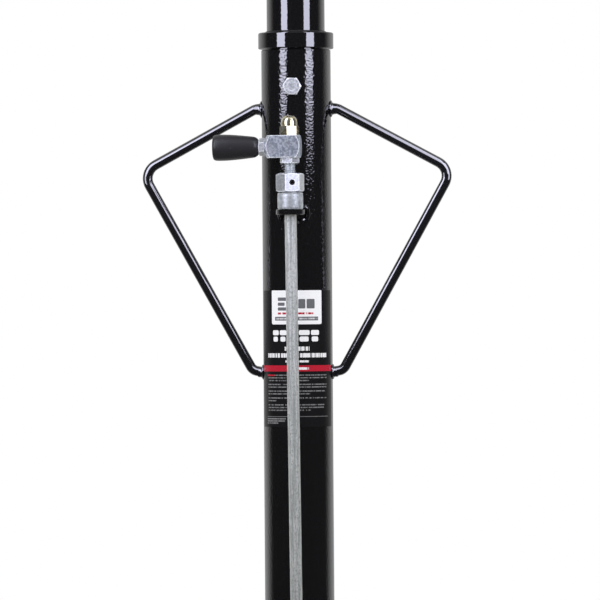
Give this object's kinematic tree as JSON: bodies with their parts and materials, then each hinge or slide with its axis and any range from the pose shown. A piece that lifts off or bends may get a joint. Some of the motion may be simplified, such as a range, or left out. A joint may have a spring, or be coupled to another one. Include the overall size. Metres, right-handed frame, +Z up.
{
  "type": "transmission jack",
  "caption": "Vertical two-stage transmission jack: telescopic column with bent bar handles and a hand release lever, on a four-legged swivel caster base with foot pump and swing-arm saddle.",
  "frame": {"origin": "on the floor, on the column's axis; the row's bounding box is symmetric about it in X and Y", "axes": "+Z up along the column; -Y towards the operator, where the release lever, the label and the foot pump are; the side handles reach out along +X and -X"},
  "size_m": [0.5676, 0.614, 1.102],
  "materials": {
    "black_gloss_paint": "high gloss black paint with slight orange peel",
    "label_film": "printed vinyl film with black, white and red areas and no wording",
    "bright_zinc": "bright zinc plating, clear bluish, slightly mottled",
    "drawn_rod_zinc": "galvanised drawn bar with faint lengthwise streaks",
    "knurled_zinc": "knurled, matt zinc plating",
    "yellow_zinc": "pale yellow passivated plating, polished",
    "black_oxide": "black oxide screws",
    "grip_plastic": "matt black moulded plastic",
    "cap_plastic": "matt black moulded plastic",
    "ram_chrome": "hard chrome, ground and polished",
    "piston_steel": "turned steel",
    "bush_bronze": "turned bearing bronze",
    "wiper_rubber": "black nitrile rubber",
    "pad_rubber": "black ribbed rubber",
    "spring_steel": "oiled spring wire",
    "pump_paint": "black paint over machined steel",
    "wheel_polymer": "hard black nylon, satin"
  },
  "bodies": {
    "base": {"outer_tube": "black_gloss_paint", "column_collar": "black_gloss_paint", "guide_bush": "bush_bronze", "column_wiper": "wiper_rubber", "filler_plug": "bright_zinc", "left_handle": "black_gloss_paint", "right_handle": "black_gloss_paint", "rating_label": "label_film", "cylinder_foot": "piston_steel", "rod_bracket": "black_gloss_paint", "release_gland": "bright_zinc", "lower_frame_plate": "black_gloss_paint", "upper_frame_plate": "black_gloss_paint", "leg_front_left": "black_gloss_paint", "leg_front_right": "black_gloss_paint", "leg_rear_left": "black_gloss_paint", "leg_rear_right": "black_gloss_paint", "leg_end_caps": "cap_plastic", "leg_fasteners": "bright_zinc", "caster_plates": "bright_zinc", "pump_block": "pump_paint", "pump_block_bolts": "black_oxide", "pump_barrel": "bright_zinc", "pedal_ears": "black_gloss_paint", "plunger_spring": "spring_steel"},
    "inner_stage": {"inner_tube": "black_gloss_paint", "inner_piston": "piston_steel", "inner_collar": "black_gloss_paint", "inner_bush": "bush_bronze", "inner_wiper": "wiper_rubber"},
    "ram": {"ram_rod": "ram_chrome", "ram_piston": "piston_steel"},
    "saddle": {"saddle_post": "black_gloss_paint", "saddle_plate": "black_gloss_paint", "saddle_arm_bolts": "bright_zinc"},
    "release_lever": {"release_rod": "drawn_rod_zinc", "knurled_collar": "knurled_zinc", "hex_coupling": "bright_zinc", "grub_screw": "black_oxide", "spindle_stud": "bright_zinc", "jam_nut": "bright_zinc", "dome_nut": "yellow_zinc", "lever_block": "bright_zinc", "lever_nut": "bright_zinc", "lever_grip": "grip_plastic"},
    "plunger": {"pump_plunger": "ram_chrome"},
    "pedal": {"pump_pedal": "black_gloss_paint", "pedal_pad": "pad_rubber"},
    "saddle_arm_front_left": {"saddle_arm_front_left": "black_gloss_paint"},
    "saddle_arm_front_right": {"saddle_arm_front_right": "black_gloss_paint"},
    "saddle_arm_rear_left": {"saddle_arm_rear_left": "black_gloss_paint"},
    "saddle_arm_rear_right": {"saddle_arm_rear_right": "black_gloss_paint"},
    "caster_fork_front_left": {"caster_fork_front_left": "bright_zinc"},
    "caster_wheel_front_left": {"caster_wheel_front_left": "wheel_polymer"},
    "caster_fork_front_right": {"caster_fork_front_right": "bright_zinc"},
    "caster_wheel_front_right": {"caster_wheel_front_right": "wheel_polymer"},
    "caster_fork_rear_left": {"caster_fork_rear_left": "bright_zinc"},
    "caster_wheel_rear_left": {"caster_wheel_rear_left": "wheel_polymer"},
    "caster_fork_rear_right": {"caster_fork_rear_right": "bright_zinc"},
    "caster_wheel_rear_right": {"caster_wheel_rear_right": "wheel_polymer"}
  },
  "joints": [
    {"name": "inner_stage_slide", "type": "slide", "parent": "base", "child": "inner_stage", "axis": [0, 0, 1], "range_m": [0, 0.44]},
    {"name": "ram_slide", "type": "slide", "parent": "inner_stage", "child": "ram", "axis": [0, 0, 1], "range_m": [0, 0.44]},
    {"name": "saddle_turn", "type": "hinge", "parent": "ram", "child": "saddle", "pos_m": [0, 0, 1], "axis": [0, 0, 1], "continuous": true},
    {"name": "release_turn", "type": "hinge", "parent": "base", "child": "release_lever", "pos_m": [-0.001, -0.058, 0.7555], "axis": [-0.008, 0, 1], "range_deg": [0, 90]},
    {"name": "pedal_press", "type": "hinge", "parent": "base", "child": "pedal", "pos_m": [0, -0.078, 0.285], "axis": [1, 0, 0], "range_deg": [0, 30], "stiffness_Nm_per_rad": 4, "springref_deg": -34.38},
    {"name": "plunger_slide", "type": "slide", "parent": "base", "child": "plunger", "axis": [0, 0, -1], "range_m": [0, 0.0114], "deforming": ["plunger_spring"]},
    {"name": "arm_swing_front_left", "type": "hinge", "parent": "saddle", "child": "saddle_arm_front_left", "pos_m": [-0.068, -0.068, 1.054], "axis": [0, 0, 1], "range_deg": [-60, 60]},
    {"name": "arm_swing_front_right", "type": "hinge", "parent": "saddle", "child": "saddle_arm_front_right", "pos_m": [0.068, -0.068, 1.054], "axis": [0, 0, 1], "range_deg": [-60, 60]},
    {"name": "arm_swing_rear_left", "type": "hinge", "parent": "saddle", "child": "saddle_arm_rear_left", "pos_m": [-0.068, 0.068, 1.054], "axis": [0, 0, 1], "range_deg": [-60, 60]},
    {"name": "arm_swing_rear_right", "type": "hinge", "parent": "saddle", "child": "saddle_arm_rear_right", "pos_m": [0.068, 0.068, 1.054], "axis": [0, 0, 1], "range_deg": [-60, 60]},
    {"name": "caster_swivel_front_left", "type": "hinge", "parent": "base", "child": "caster_fork_front_left", "pos_m": [-0.239, -0.239, 0.09], "axis": [0, 0, 1], "continuous": true},
    {"name": "wheel_spin_front_left", "type": "hinge", "parent": "caster_fork_front_left", "child": "caster_wheel_front_left", "pos_m": [-0.239, -0.211, 0.04], "axis": [1, 0, 0], "continuous": true},
    {"name": "caster_swivel_front_right", "type": "hinge", "parent": "base", "child": "caster_fork_front_right", "pos_m": [0.239, -0.239, 0.09], "axis": [0, 0, 1], "continuous": true},
    {"name": "wheel_spin_front_right", "type": "hinge", "parent": "caster_fork_front_right", "child": "caster_wheel_front_right", "pos_m": [0.239, -0.211, 0.04], "axis": [1, 0, 0], "continuous": true},
    {"name": "caster_swivel_rear_left", "type": "hinge", "parent": "base", "child": "caster_fork_rear_left", "pos_m": [-0.239, 0.239, 0.09], "axis": [0, 0, 1], "continuous": true},
    {"name": "wheel_spin_rear_left", "type": "hinge", "parent": "caster_fork_rear_left", "child": "caster_wheel_rear_left", "pos_m": [-0.239, 0.267, 0.04], "axis": [1, 0, 0], "continuous": true},
    {"name": "caster_swivel_rear_right", "type": "hinge", "parent": "base", "child": "caster_fork_rear_right", "pos_m": [0.239, 0.239, 0.09], "axis": [0, 0, 1], "continuous": true},
    {"name": "wheel_spin_rear_right", "type": "hinge", "parent": "caster_fork_rear_right", "child": "caster_wheel_rear_right", "pos_m": [0.239, 0.267, 0.04], "axis": [1, 0, 0], "continuous": true}
  ],
  "couplings": [
    {"joint": "plunger_slide", "follows": "pedal_press", "m_per_rad": 0.02175}
  ]
}
